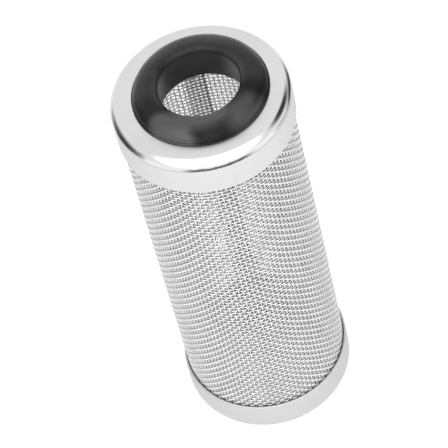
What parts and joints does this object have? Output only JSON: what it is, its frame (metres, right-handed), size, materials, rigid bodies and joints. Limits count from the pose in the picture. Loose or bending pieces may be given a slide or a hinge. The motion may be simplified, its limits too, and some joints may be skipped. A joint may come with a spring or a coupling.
{
  "type": "mesh inlet strainer",
  "caption": "Tubular woven-wire strainer with drawn steel end caps and a rubber grommet that pushes onto the end of a pipe, closed at the far end.",
  "frame": {"origin": "on the axis, at the flat underside of the lower cap", "axes": "+Z along the axis towards the grommet; the lap of the wire cloth is on the +Y side"},
  "size_m": [0.032, 0.032, 0.0884],
  "materials": {
    "cap_steel": "mirror shoulder, satin skirt and face",
    "ring_steel": "plain rolled strip",
    "wire_cloth": "bright drawn wire, plain square weave",
    "weld_steel": "flattened resistance weld",
    "rubber": "moulded, semi-matt"
  },
  "bodies": {
    "strainer": {"bottom_cap": "cap_steel", "bottom_backing_ring": "ring_steel", "mesh_sleeve": "wire_cloth", "seam_weld_1": "weld_steel", "seam_weld_2": "weld_steel", "seam_weld_3": "weld_steel", "seam_weld_4": "weld_steel", "seam_weld_5": "weld_steel", "top_backing_ring": "ring_steel", "top_cap": "cap_steel"},
    "grommet": {"rubber_grommet": "rubber"}
  },
  "joints": [
    {"name": "grommet_turn", "type": "hinge", "parent": "strainer", "child": "grommet", "pos_m": [0, 0, 0.0854], "axis": [0, 0, 1], "continuous": true}
  ]
}
